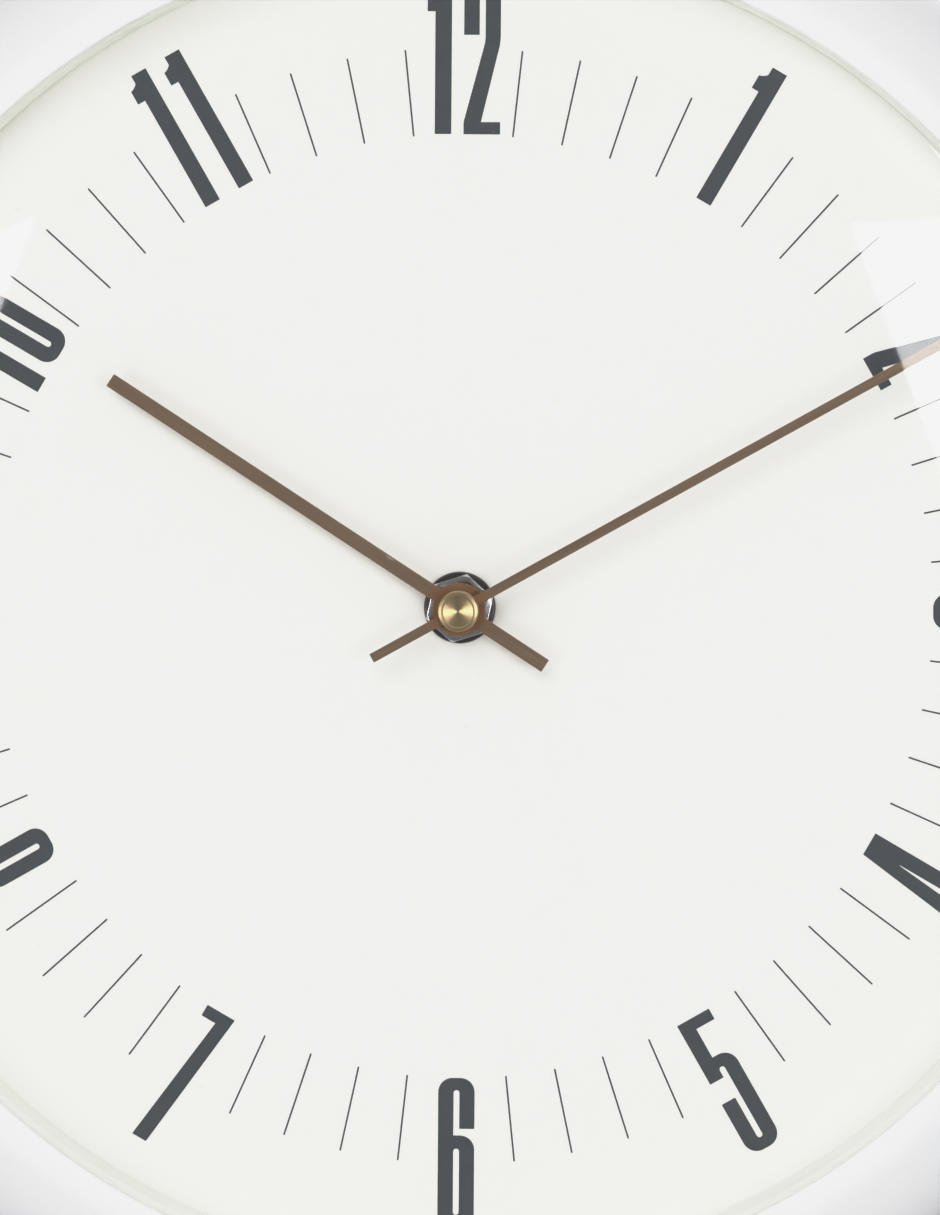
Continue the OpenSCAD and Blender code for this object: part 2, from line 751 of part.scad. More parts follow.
// Flattened round section lying along y from y0 to y1
module oblong(y0, y1, r) {
  half = 1.3;
  translate([coil_x, y1, core_z + 0.5]) rotate([90, 0, 0]) linear_extrude(y1 - y0) {
    rect([-half, -r], [half, r]);
    for (x = [-half, half]) translate([x, 0]) circle(r = r);
  }
}
module coil_bobbin() {
  color("white") face() difference() {
    union() {
      oblong(coil_y0 + 1.9, coil_y1 - 0.3, 1);
      intersection() {
        union() {
          oblong(coil_y0 + 1.9, coil_y0 + 2.7, 2.15);
          oblong(coil_y1 - 1.1, coil_y1 - 0.3, 2.15);
        }
        up(0) block([-30, -20, 7.1], [-10, 30, 12]);
      }
    }
    block([coil_x - 1.15, -30, core_z - 0.03], [coil_x + 1.15, 30, core_z + 1.03]);
  }
}
module coil_winding() {
  color([0.72, 0.35, 0.2]) face() difference() {
    oblong(coil_y0 + 2.7, coil_y1 - 1.1, 1.95);
    oblong(coil_y0 - 5, coil_y1 + 5, 1);
  }
}

// Electronics
module circuit_board() {
  color("darkgreen") face() difference() {
    block([-26, 13.6, board_z], [-4, 25.6, board_z + board_t]);
    for (p = board_pins) at(p, 0) disc(0.55, 40);
  }
}
module ic_cap() {
  color("black") face() at([-14, 19.5], board_z + board_t) intersection() {
    disc(2.6, 1.3);
    up(-1.65) sphere(r = 3);
  }
}
module quartz_crystal() {
  can_z = board_z + board_t + 1.05;
  color("silver") face() {
    translate([-11, 23.4, can_z]) rotate([0, 90, 0]) disc(1.05, 6);
    for (y = [23, 23.8]) translate([-14, y, can_z]) rotate([0, 90, 0]) disc(0.15, 3.1);
    for (y = [23, 23.8]) at([-13.9, y], board_z + board_t) disc(0.15, 1.1);
  }
}

// Battery and its contacts
module battery_cell() {
  nub_l = 1.05;
  color([0.7, 0.55, 0.2]) face() translate([-cell_l / 2, cell_y, cell_z]) rotate([0, 90, 0]) {
    disc(cell_d / 2, cell_l - nub_l);
    disc(2.75, cell_l);
  }
}
module contact_positive() {
  x0 = cell_l / 2 + 0.15;
  x1 = x0 + strip_t;
  y1 = case_h - wall_t - 0.4;
  pad_z = board_z + board_t;
  color("silver") face() {
    block([x0, cell_y - 5, 9], [x1, divide_y - 0.6, 16.5]);
    block([x0, divide_y - 2, strip_z], [x1, y1, strip_z + 3]);
    block([-7, y1 - strip_t, strip_z], [x1, y1, strip_z + 3]);
    block([-7, y1 - 1.8, pad_z], [-4.6, y1 - 0.1, pad_z + strip_t]);
  }
}
module contact_negative() {
  x0 = -cell_l / 2;
  back = x0 - 1.25;
  pad_z = board_z + board_t;
  color("silver") face() {
    translate([0, 0, strip_z]) linear_extrude(6.8) polygon([
      [back, cell_y - 6], [back + strip_t, cell_y - 6], [x0 - 0.15, cell_y - 0.8],
      [x0 - 0.15, cell_y + 0.8], [back + strip_t, divide_y - 0.6], [back, divide_y - 0.6],
      [x0 - 0.45, cell_y + 0.8], [x0 - 0.45, cell_y - 0.8]]);
    block([back, divide_y - 2, strip_z], [back + strip_t, 24, strip_z + 3]);
    block([back + 0.1, 21, pad_z], [-23.6, 23.4, pad_z + strip_t]);
  }
}

front_frame();
glass_lens();
spacer_ring();
dial_plate();
dial_numerals();
minute_ticks();
back_cover();
case_screws();
hanger_plate();
hanger_screws();
movement_case_front();
movement_case_back();
rubber_washer();
mounting_washer();
mounting_nut();
hour_hand();
hour_wheel();
minute_hand();
cap_nut();
cannon_pinion();
clutch_spring();
minute_wheel();
centre_wheel();
third_wheel();
second_wheel();
step_wheel();
rotor_pinion();
rotor_magnet();
stator();
coil_bobbin();
coil_winding();
coil_core();
circuit_board();
ic_cap();
quartz_crystal();
wheel_plate();
setting_knob();
battery_cell();
contact_positive();
contact_negative();
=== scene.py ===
# %% [markdown]
# # A round wall clock
# The clock is a white moulded frame round a domed lens, with a printed dial, two bar
# hands and a quartz movement behind. Its shape was settled in CAD, and every part arrives
# here in metres at its true place: the dial looks along -Y and +Z is twelve o'clock.
# This lesson gives each part a finish, and remakes the parts whose edges catch the light.

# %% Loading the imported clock
import json
import math

import bmesh
import bpy
from mathutils import Euler, Matrix, Vector

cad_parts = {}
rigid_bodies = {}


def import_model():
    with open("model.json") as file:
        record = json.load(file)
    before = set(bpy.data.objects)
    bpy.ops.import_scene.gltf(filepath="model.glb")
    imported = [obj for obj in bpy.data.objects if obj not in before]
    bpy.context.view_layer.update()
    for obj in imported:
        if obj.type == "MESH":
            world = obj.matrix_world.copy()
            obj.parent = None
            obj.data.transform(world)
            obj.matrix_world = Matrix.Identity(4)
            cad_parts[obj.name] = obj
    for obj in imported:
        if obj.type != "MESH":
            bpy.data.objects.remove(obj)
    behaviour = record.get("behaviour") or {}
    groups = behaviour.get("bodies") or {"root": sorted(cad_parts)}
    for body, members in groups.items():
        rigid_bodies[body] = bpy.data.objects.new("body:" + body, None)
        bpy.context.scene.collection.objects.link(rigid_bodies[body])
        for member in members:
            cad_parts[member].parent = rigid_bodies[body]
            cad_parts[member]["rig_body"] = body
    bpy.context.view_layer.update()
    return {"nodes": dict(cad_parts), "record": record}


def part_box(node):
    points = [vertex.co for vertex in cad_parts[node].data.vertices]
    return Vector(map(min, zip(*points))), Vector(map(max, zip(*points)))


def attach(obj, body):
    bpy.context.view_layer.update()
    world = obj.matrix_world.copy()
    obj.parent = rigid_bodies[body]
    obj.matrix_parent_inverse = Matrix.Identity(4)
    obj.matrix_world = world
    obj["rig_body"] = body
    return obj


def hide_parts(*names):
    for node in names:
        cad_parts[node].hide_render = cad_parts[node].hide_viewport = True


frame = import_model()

MM = 0.001

# %% [markdown]
# ## Measuring the CAD parts
# It is easiest to model a clock lying on its back, with the dial facing up, and to stand
# it up at the end. In that layout a height is how far a point is from the wall, which is
# minus its Y in the room. The box of each CAD part says where its copy goes.

# %% Heights and radii of a CAD part
def low(node):
    return -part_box(node)[1].y / MM


def high(node):
    return -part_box(node)[0].y / MM


def radius(node):
    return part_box(node)[1].x / MM


dial_z = high("dial_plate")
crest_z = high("front_frame")
print(f"dial face {dial_z:.2f} mm and crest {crest_z:.2f} mm from the wall")

# %% [markdown]
# ## Making pieces
# Most parts of a clock are turned or moulded round one axis, so the main tool is a pen
# that draws half a section and then spins it. The pen's straight strokes come from
# extruding a point and its arcs from spinning a point, so no list of vertices is typed.

# %% The pen
class Pen:
    """Draws a section in the XZ plane, in mm, to be spun about Z."""

    def __init__(self, bm, r, z):
        self.bm = bm
        self.first = self.tip = bm.verts.new((r, 0, z))

    def line(self, r, z):
        self.tip = bmesh.ops.extrude_vert_indiv(self.bm, verts=[self.tip])["verts"][0]
        self.tip.co = (r, 0, z)
        return self

    def arc(self, r, z, degrees, steps=8):
        """Swings the tip round (r, z), clockwise when degrees is above zero."""
        made = bmesh.ops.spin(
            self.bm, geom=[self.tip], cent=(r, 0, z), axis=(0, 1, 0),
            angle=math.radians(degrees), steps=steps)["geom_last"]
        self.tip = next(g for g in made if isinstance(g, bmesh.types.BMVert))
        return self

    def close(self):
        self.bm.edges.new((self.tip, self.first))


def spin_section(bm, steps=192):
    """Turns the drawn section once round the Z axis and closes its seam and poles."""
    bmesh.ops.spin(
        bm, geom=bm.verts[:] + bm.edges[:], cent=(0, 0, 0), axis=(0, 0, 1),
        angle=2 * math.pi, steps=steps, use_merge=True)
    bmesh.ops.remove_doubles(bm, verts=bm.verts[:], dist=1e-5)
    bmesh.ops.dissolve_degenerate(bm, edges=bm.edges[:], dist=1e-5)


# %% [markdown]
# The second helper finishes a mesh. It stands the mesh up in the room, makes it an
# object, hangs it on the CAD body it moves with, and hides the CAD part it stands for.
# Curved faces are shaded smooth, and edges past a chosen angle stay crisp.

# %% Finishing a piece
STAND_UP = Matrix.Rotation(math.pi / 2, 4, "X")
slot_of = {s["node"]: s["material_slot"] for s in frame["record"]["subparts"]}
body_of = {node: obj["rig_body"] for node, obj in frame["nodes"].items()}


def finish_mesh(bm, name, node, crease):
    bmesh.ops.recalc_face_normals(bm, faces=bm.faces[:])
    mesh = bpy.data.meshes.new(name)
    bm.to_mesh(mesh)
    bm.free()
    made = bpy.data.objects.new(name, mesh)
    bpy.context.scene.collection.objects.link(made)
    mesh.shade_smooth()
    mesh.set_sharp_from_angle(angle=math.radians(crease))
    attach(made, body_of[node])
    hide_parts(node)
    print(f"{name}: {len(mesh.polygons)} faces, rides on {body_of[node]}")
    return made


def stand(bm, name, node, crease=35, place=Matrix.Identity(4)):
    """Places a mesh modelled in mm on the lying clock, and stands it up."""
    bmesh.ops.transform(
        bm, matrix=STAND_UP @ Matrix.Scale(MM, 4) @ place, verts=bm.verts[:])
    return finish_mesh(bm, name, node, crease)


# %% [markdown]
# Some parts have the right outline already and only lack the small radius that a press
# tool or a mould leaves on every edge. For those a copy of the CAD mesh is taken, its
# loose triangles are merged into whole faces, and the sharp edges are bevelled. A bevel
# of a tenth of a millimetre is enough to draw a bright line where two faces meet.

# %% Easing the edges of a CAD part
def eased(node, name, width, segments=2, crease=20, sharp=25):
    bm = bmesh.new()
    bm.from_mesh(frame["nodes"][node].data)
    bmesh.ops.remove_doubles(bm, verts=bm.verts[:], dist=2e-6)
    bmesh.ops.dissolve_limit(
        bm, angle_limit=math.radians(0.6), verts=bm.verts[:], edges=bm.edges[:])
    corners = [
        e for e in bm.edges if e.is_manifold and e.calc_face_angle() > math.radians(sharp)]
    bmesh.ops.bevel(
        bm, geom=corners, offset=width * MM, offset_type="OFFSET", affect="EDGES",
        segments=segments, profile=0.5, material=-1, clamp_overlap=True)
    return finish_mesh(bm, name, node, crease)


# %% [markdown]
# ## The camera
# A long lens from a little over two metres away, slightly above and to the right of the
# dial, and close enough in that the frame's outer edge runs out of view. The three small
# turns are those of the camera against the dial, and its place is counted in REACH, the
# inner radius of the minute lines.

# %% Placing the camera
REACH = 89.7 * MM
turn = Euler([math.radians(a) for a in (3.90, -1.53, -0.52)], "XYZ").to_matrix()
offset = Vector((-0.0214, 0.0003, -25.0)) * REACH
spot = turn.transposed() @ -offset + Vector((0, 0, dial_z * MM))
camera = bpy.data.objects.new("camera", bpy.data.cameras.new("camera"))
camera.data.sensor_width = 36
camera.data.lens = 350.2
camera.matrix_world = STAND_UP @ Matrix.Translation(spot) @ turn.transposed().to_4x4()
bpy.context.scene.collection.objects.link(camera)
bpy.context.scene.camera = camera
print("camera at", [round(v, 3) for v in camera.matrix_world.translation])

# %% [markdown]
# ## Light
# Two tall softboxes stand left and right of the camera. The domed lens mirrors their
# inner corners as two bright slanting panes, near two and ten o'clock. A glowing sheet
# gives such a hard-edged reflection, so the softboxes are sheets, with their corners
# where the lens would have to see them. They don't show to the camera themselves.

# %% Softboxes
def glowing_sheet(name, corners, strength):
    bm = bmesh.new()
    bm.faces.new([bm.verts.new(c) for c in corners])
    mesh = bpy.data.meshes.new(name)
    bm.to_mesh(mesh)
    bm.free()
    glow = bpy.data.materials.new(name)
    glow.use_nodes = True
    glow.node_tree.nodes.clear()
    light = glow.node_tree.nodes.new("ShaderNodeEmission")
    light.inputs["Strength"].default_value = strength
    end = glow.node_tree.nodes.new("ShaderNodeOutputMaterial")
    glow.node_tree.links.new(light.outputs[0], end.inputs[0])
    mesh.materials.append(glow)
    sheet = bpy.data.objects.new(name, mesh)
    bpy.context.scene.collection.objects.link(sheet)
    sheet.visible_camera = False


BOX_Y = -1.54
BOX_GLOW = 5.8
right_box = [(0.303, 0.244), (0.802, 0.277), (1.014, -0.287), (0.515, -0.320)]
left_box = [(-0.422, 0.246), (-0.626, -0.324), (-1.126, -0.555), (-0.922, 0.015)]
for name, corners in (("softbox_right", right_box), ("softbox_left", left_box)):
    glowing_sheet(name, [(x, BOX_Y, z) for x, z in corners], BOX_GLOW)

# %% [markdown]
# Two plain lamps fill in. One hangs above the camera: it lifts whatever faces forward, so
# the flat crest of the frame stands out from the sides that turn away. The lens doesn't
# mirror it, or it would draw a third pane. The other lamp lights the back.

# %% Lamps
def soft_lamp(name, place, size, energy):
    lamp = bpy.data.objects.new(name, bpy.data.lights.new(name, "AREA"))
    lamp.data.size = size
    lamp.data.energy = energy
    lamp.location = place
    lamp.rotation_euler = (-lamp.location).to_track_quat("-Z", "Y").to_euler()
    lamp.visible_camera = False
    bpy.context.scene.collection.objects.link(lamp)
    return lamp


soft_lamp("front_lamp", (-0.35, -1.9, 0.8), 0.9, 12.5).visible_glossy = False
soft_lamp("back_lamp", (0.5, 1.7, 1.1), 1.6, 30)

# %% [markdown]
# Around the clock is a light tent: soft white from every side, with a dark opening in
# front where the camera looks in. The opening keeps the lens clear and gives the metal
# something dark to mirror. The tent is a world shader that reads the direction of a ray,
# bright to the sides, brighter above than below, and dimmer behind. What the camera sees
# past the clock is an even wall.

# %% Light tent
world = bpy.data.worlds.new("tent")
bpy.context.scene.world = world
world.use_nodes = True
tent = world.node_tree
background = tent.nodes["Background"]
background.inputs["Color"].default_value = (0.985, 0.975, 1.0, 1)


def tent_node(kind, source, **values):
    made = tent.nodes.new("ShaderNode" + kind)
    for key, value in values.items():
        made.inputs[key.replace("_", " ").title()].default_value = value
    for index, out in source.items():
        tent.links.new(out, made.inputs[index])
    return made


def ramp(value, start, end, dim, bright):
    return tent_node(
        "MapRange", {"Value": value}, From_Min=start, From_Max=end, To_Min=dim, To_Max=bright)


aim = tent_node("SeparateXYZ", {0: tent.nodes.new("ShaderNodeTexCoord").outputs["Generated"]})
opening = ramp(aim.outputs["Y"], -0.92, -0.76, 0.13, 0.54)
behind = ramp(aim.outputs["Y"], -0.35, 0.3, 1.0, 0.34)
opening.interpolation_type = behind.interpolation_type = "SMOOTHSTEP"
height = ramp(aim.outputs["Z"], -0.8, 0.8, 0.55, 1.2)
sides = tent_node("Math", {0: opening.outputs[0], 1: behind.outputs[0]})
glow = tent_node("Math", {0: sides.outputs[0], 1: height.outputs[0]})
sides.operation = glow.operation = "MULTIPLY"
WALL_GLOW = 0.55
by_camera = tent.nodes.new("ShaderNodeLightPath").outputs["Is Camera Ray"]
seen = tent_node(
    "MapRange", {"Value": by_camera, "To Min": glow.outputs[0]}, To_Max=WALL_GLOW)
tent.links.new(seen.outputs[0], background.inputs["Strength"])

# %% [markdown]
# A camera rolls bright light off gently, so a reflection on a white dial reads as white
# and not as a hole. A curve in the colour management does that: straight up to the dial's
# own brightness, then a shoulder.

# %% Tone
look = bpy.context.scene.view_settings
look.view_transform = "Standard"
look.use_curve_mapping = True
tone = look.curve_mapping
BRIGHTEST = 2.0
tone.white_level = (BRIGHTEST,) * 3
shoulder = tone.curves[3].points
for light, shown in ((0.4, 0.415), (0.84, 0.885), (1.0, 0.902), (1.4, 0.918)):
    shoulder.new(light / BRIGHTEST, shown)
shoulder[-1].location = (1.0, 0.95)
for dot in shoulder:
    dot.handle_type = "AUTO_CLAMPED"
tone.update()
print("tone points:", [[round(v, 3) for v in dot.location] for dot in shoulder])

# %% [markdown]
# ## Shader maths
# A finish is mostly arithmetic on noise: a socket plus a number, one pattern times
# another. The small class below lets those sums be written as Python, and adds the
# Math nodes itself. Every other node comes from one method, which sets the node's own
# settings first and then the values or links of its sockets.

# %% Sockets that do sums
class Sock:
    def __init__(self, paint, out):
        self.paint, self.out = paint, out

    def sum(self, operation, a, b=None):
        return self.paint.node("Math", {"operation": operation}, {0: a, 1: b})

    def __add__(self, other):
        return self.sum("ADD", self, other)

    def __radd__(self, other):
        return self.sum("ADD", other, self)

    def __sub__(self, other):
        return self.sum("SUBTRACT", self, other)

    def __rsub__(self, other):
        return self.sum("SUBTRACT", other, self)

    def __mul__(self, other):
        return self.sum("MULTIPLY", self, other)

    def __rmul__(self, other):
        return self.sum("MULTIPLY", other, self)

    def __truediv__(self, other):
        return self.sum("DIVIDE", self, other)

    def __gt__(self, edge):
        return self.sum("GREATER_THAN", self, edge)

    def __lt__(self, edge):
        return self.sum("LESS_THAN", self, edge)

    def sine(self):
        return self.sum("SINE", self)

    def root(self):
        return self.sum("SQRT", self)


class Paint:
    """One material. Its node method makes any node and returns the output asked for."""

    def __init__(self, name):
        self.mat = bpy.data.materials.new(name)
        self.mat.use_nodes = True
        self.tree = self.mat.node_tree
        self.skin = self.tree.nodes["Principled BSDF"]
        self.end = self.tree.nodes["Material Output"]

    def feed(self, socket, value):
        if isinstance(value, Sock):
            self.tree.links.new(value.out, socket)
        elif value is not None:
            socket.default_value = value

    def node(self, kind, settings, inputs, output=0):
        made = self.tree.nodes.new("ShaderNode" + kind)
        for key, value in settings.items():
            setattr(made, key, value)
        for key, value in inputs.items():
            self.feed(made.inputs[key], value)
        return Sock(self, made.outputs[output])

    def point(self):
        return self.node("TexCoord", {}, {}, "Object")

    def axis(self, letter):
        return self.node("SeparateXYZ", {}, {"Vector": self.point()}, letter)

    def noise(self, scale, detail=3.0, stretch=(1, 1, 1), turned=0.0, rough=0.5):
        """Noise with scale bumps a metre, drawn out by stretch along axes turned about Y."""
        place = self.node("Mapping", {"vector_type": "TEXTURE"}, {
            "Vector": self.point(), "Rotation": (0, turned, 0), "Scale": stretch})
        return self.node("TexNoise", {}, {
            "Vector": place, "Scale": scale, "Detail": detail, "Roughness": rough})

    def radius(self):
        across, up = self.axis("X"), self.axis("Z")
        return (across * across + up * up).root()

    def rings(self, pitch, detail=2.0):
        """Uneven rings round the clock's axis, about pitch metres apart."""
        return self.node("TexNoise", {"noise_dimensions": "1D"}, {
            "W": self.radius() / pitch, "Scale": 1.0, "Detail": detail})

    def mix(self, share, first, second):
        return self.node("Mix", {"data_type": "RGBA"}, {0: share, 6: first, 7: second}, 2)

    def bump(self, height, reach):
        return self.node("Bump", {}, {"Height": height, "Distance": reach})

    def set(self, **sockets):
        for key, value in sockets.items():
            self.feed(self.skin.inputs[key.replace("_", " ").title()], value)
        return self.mat


def rgb(colour, share=1.0):
    return (*[c * share for c in colour], 1.0)


finishes = {}

# %% [markdown]
# ## Moulded plastic
# Most of the clock is moulded plastic. A mould leaves a fine even grain, the melt cools
# with slow waves in its colour, and the gloss differs a little from place to place. One
# function holds all three, and each plastic part chooses how strong they are. The grain
# is a size in bumps a metre and a depth in millimetres, because a real grain has both.

# %% A plastic finish
def plastic(name, colour, gloss, grain, depth, drift):
    p = Paint(name)
    slow = p.noise(30.0, 2.0)
    fine = p.noise(grain, 2.0)
    finishes[name] = p.set(
        base_color=p.mix(slow, rgb(colour, 1 - drift), rgb(colour)),
        roughness=gloss + (slow - 0.5) * 0.06 + (fine - 0.5) * 0.08,
        normal=p.bump(fine, depth * MM))
    return finishes[name]


plastic("frame_white", (0.83, 0.83, 0.83), 0.33, 500.0, 0.003, 0.015)
plastic("ring_grey", (0.90, 0.915, 0.86), 0.62, 1500.0, 0.01, 0.02)
plastic("cover_white", (0.74, 0.74, 0.73), 0.55, 1300.0, 0.03, 0.03)
plastic("case_black", (0.022, 0.022, 0.024), 0.48, 2600.0, 0.03, 0.3)
plastic("knob_grey", (0.09, 0.09, 0.095), 0.42, 2600.0, 0.015, 0.15)
plastic("wheel_plastic", (0.82, 0.82, 0.79), 0.38, 3000.0, 0.006, 0.06)
plastic("wheel_cream", (0.78, 0.73, 0.56), 0.38, 3000.0, 0.006, 0.08)
plastic("bridge_plastic", (0.62, 0.57, 0.40), 0.45, 3000.0, 0.008, 0.08)
plastic("bobbin", (0.80, 0.80, 0.76), 0.4, 3000.0, 0.006, 0.06)
plastic("rubber", (0.022, 0.022, 0.022), 0.78, 4000.0, 0.03, 0.3)
plastic("epoxy", (0.012, 0.012, 0.013), 0.16, 900.0, 0.02, 0.3)
plastic("magnet", (0.07, 0.07, 0.075), 0.5, 5000.0, 0.02, 0.3)
print(len(finishes), "plastic finishes")

# %% [markdown]
# ## Metal
# Metal is told by its grain and by which way the grain runs. A pressed hand is brushed
# along its length, a turned cap is ringed, and plated steel is only a little uneven. So
# the metal function takes its grain from outside, and adds slow tarnish in the colour.

# %% A metal finish
def metal(p, name, colour, gloss, grain, depth, drift=0.12, uneven=0.14):
    slow = p.noise(140.0, 2.0)
    finishes[name] = p.set(
        base_color=p.mix(slow, rgb(colour, 1 - drift), rgb(colour)),
        roughness=gloss + (grain - 0.5) * uneven + (slow - 0.5) * 0.05,
        normal=p.bump(grain, depth * MM),
        metallic=1.0)


def plated(name, colour, gloss, scale=1200.0, depth=0.004, stretch=(1, 1, 1), drift=0.12):
    p = Paint(name)
    metal(p, name, colour, gloss, p.noise(scale, 4.0, stretch, 0.0, 0.6), depth, drift)


plated("zinc", (0.62, 0.63, 0.60), 0.3, 900.0, 0.006, drift=0.2)
plated("hanger_steel", (0.60, 0.61, 0.62), 0.34, 500.0, 0.006, (14, 1, 1), 0.18)
plated("nut_chrome", (0.80, 0.80, 0.81), 0.12, 900.0, 0.002, drift=0.06)
plated("washer_dark", (0.12, 0.10, 0.106), 0.3, 900.0, 0.005, drift=0.25)
plated("spring_steel", (0.55, 0.55, 0.56), 0.28)
plated("stator_iron", (0.46, 0.47, 0.50), 0.42, 1500.0, 0.006, drift=0.2)
plated("crystal_can", (0.72, 0.72, 0.73), 0.16, 900.0, 0.002)
plated("contact_steel", (0.70, 0.69, 0.66), 0.25, 900.0, 0.004, (1, 1, 14))
print(len(finishes), "finishes so far")

# %% [markdown]
# ## The dial and its ink
# The dial is a flat printed plate in a very pale warm grey. Close up it has the soft
# tooth of a matt lacquer and a few faint darker specks of dust, and nothing more: most of
# its interest is in how the light falls off towards the frame. The ink is screen printed,
# a blue slate grey that sits a tenth of a millimetre proud, with tiny pinholes.

# %% Dial and ink finishes
p = Paint("dial_ivory")
cloud = p.noise(14.0, 3.0)
tooth = p.noise(1400.0, 3.0)
speck = p.noise(420.0, 0.0) > 0.87
lacquer = p.mix(cloud, rgb((0.920, 0.908, 0.862)), rgb((0.936, 0.925, 0.880)))
finishes["dial_ivory"] = p.set(
    base_color=p.mix(speck * 0.16, lacquer, rgb((0.42, 0.40, 0.36))),
    roughness=0.62 + (tooth - 0.5) * 0.1,
    normal=p.bump(tooth, 0.0012 * MM))

p = Paint("ink")
thin = p.noise(160.0, 3.0)
weave = p.noise(2600.0, 2.0)
slate = p.mix(thin, rgb((0.050, 0.058, 0.068)), rgb((0.066, 0.076, 0.088)))
finishes["ink"] = p.set(
    base_color=p.mix((weave > 0.72) * 0.25, slate, rgb((0.3, 0.31, 0.31))),
    roughness=0.5 + (weave - 0.5) * 0.2,
    normal=p.bump(weave, 0.006 * MM))

# %% [markdown]
# ## The lens finish
# The lens is clear, and clear glass shows mostly by what it mirrors. A sheet mirrors
# about a thirteenth of what faces it, and more at a glance, which is what a Fresnel node
# gives. Counting both faces of the sheet on its outer one, and letting light leave freely
# from inside, keeps the dial bright and free of noise. The rest passes with a breath of
# green, as float glass has.

# %% Lens material
p = Paint("lens_glass")
single = p.node("Fresnel", {}, {"IOR": 1.5})
outside = 1 - p.node("NewGeometry", {}, {}, "Backfacing")
share = 2 * single / (1 + single) * outside
clear = p.node("BsdfTransparent", {}, {"Color": (0.995, 0.998, 0.995, 1)})
mirror = p.node("BsdfAnisotropic", {}, {"Color": (1, 1, 1, 1), "Roughness": 0.02})
both = p.node("MixShader", {}, {0: share, 1: clear, 2: mirror})
p.feed(p.end.inputs["Surface"], both)
p.tree.nodes.remove(p.skin)
finishes["lens_glass"] = p.mat

# %% [markdown]
# ## The frame
# The frame is one glossy moulding: a rounded lip over the lens, a soft ridge, a long
# convex side and an upright rim that meets the wall. It's hollow behind, with a wall
# that holds the lens, the spacer and the dial. The CAD mesh has flat strips along the
# convex side, which a gloss would show, so it is drawn again with arcs and spun finely.

# %% Frame section
LENS_THICK = 2.0
lip_r, lip_round = 126.9, 0.6
pocket_r, pocket_wall, pocket_foot = 130.2, 2, 8
foot_round, ease = 0.8, 0.4
frame_r = radius("front_frame")
lens_z = high("spacer_ring") + LENS_THICK
ridge_r, ridge_ball, ridge_turn = 129.5, 6.6, 32.0
side_ball, shell = 37.4, 2.5
tilt = math.radians(ridge_turn)
side_r = ridge_r + (ridge_ball - side_ball) * math.sin(tilt)
side_z = crest_z - ridge_ball + (ridge_ball - side_ball) * math.cos(tilt)


def side_angle(r, ball):
    """Angle from upright at which the side's arc of radius ball is r from the axis."""
    return math.degrees(math.asin((r - side_r) / ball))


inner_ball = side_ball - shell
end_angle = side_angle(frame_r - shell, inner_ball)
wall_r = pocket_r + pocket_wall
wall_angle = side_angle(wall_r, inner_ball)
bm = bmesh.new()
pen = Pen(bm, lip_r, lens_z)
pen.line(lip_r, crest_z - lip_round).arc(lip_r + lip_round, crest_z - lip_round, 90, 6)
pen.line(ridge_r, crest_z).arc(ridge_r, crest_z - ridge_ball, ridge_turn, 10)
pen.arc(side_r, side_z, side_angle(frame_r, side_ball) - ridge_turn, 28)
pen.line(frame_r, foot_round).arc(frame_r - foot_round, foot_round, 90, 5)
pen.line(frame_r - shell + ease, 0).arc(frame_r - shell + ease, ease, 90, 4)
pen.line(frame_r - shell, side_z + inner_ball * math.cos(math.radians(end_angle)))
pen.arc(side_r, side_z, wall_angle - end_angle, 20)
pen.line(wall_r, pocket_foot + ease).line(wall_r - ease, pocket_foot)
pen.line(pocket_r + ease, pocket_foot).line(pocket_r, pocket_foot + ease)
pen.line(pocket_r, lens_z)
pen.close()
spin_section(bm, 256)

# %% [markdown]
# Six pillars stand under the shell for the screws that hold the cover. Each is a short
# tube. One is drawn, spun, moved out to its radius, and copied round the frame.

# %% Screw pillars, and the finished frame
PILLARS, PILLAR_CIRCLE = 6, 139
pilot_r, pillar_r, pillar_ease = 1.5, 3.6, 0.2
pillar_low, pillar_high = 4.2, 30.0
pillars = bmesh.new()
pen = Pen(pillars, pilot_r, pillar_low)
pen.line(pillar_r - pillar_ease, pillar_low).line(pillar_r, pillar_low + pillar_ease)
pen.line(pillar_r, pillar_high).line(pilot_r, pillar_high)
pen.close()
spin_section(pillars, 24)
bmesh.ops.translate(pillars, verts=pillars.verts[:], vec=(PILLAR_CIRCLE, 0, 0))
first = pillars.verts[:] + pillars.edges[:] + pillars.faces[:]
pillar_step = math.radians(360 / PILLARS)
for k in range(1, PILLARS):
    copy = bmesh.ops.duplicate(pillars, geom=first)["geom"]
    bmesh.ops.rotate(
        pillars, cent=(0, 0, 0), matrix=Matrix.Rotation(pillar_step * k, 3, "Z"),
        verts=[g for g in copy if isinstance(g, bmesh.types.BMVert)])
bmesh.ops.rotate(
    pillars, cent=(0, 0, 0), matrix=Matrix.Rotation(pillar_step / 2, 3, "Z"),
    verts=pillars.verts[:])
spare = bpy.data.meshes.new("pillars")
pillars.to_mesh(spare)
pillars.free()
bm.from_mesh(spare)
bpy.data.meshes.remove(spare)
stand(bm, "frame_moulding", "front_frame", 28).data.materials.append(finishes["frame_white"])

# %% [markdown]
# ## Spacer ring and lens
# The spacer is a sloping channel between dial and lens: its pale inner wall is the thin
# grey band round the dial. A small undercut above its foot keeps a fine dark line between
# the two, where a plain corner would fill with light. The lens is a shallow slice of a
# sphere about two metres across, two millimetres thick, with a flat flange that the
# frame's lip holds down.

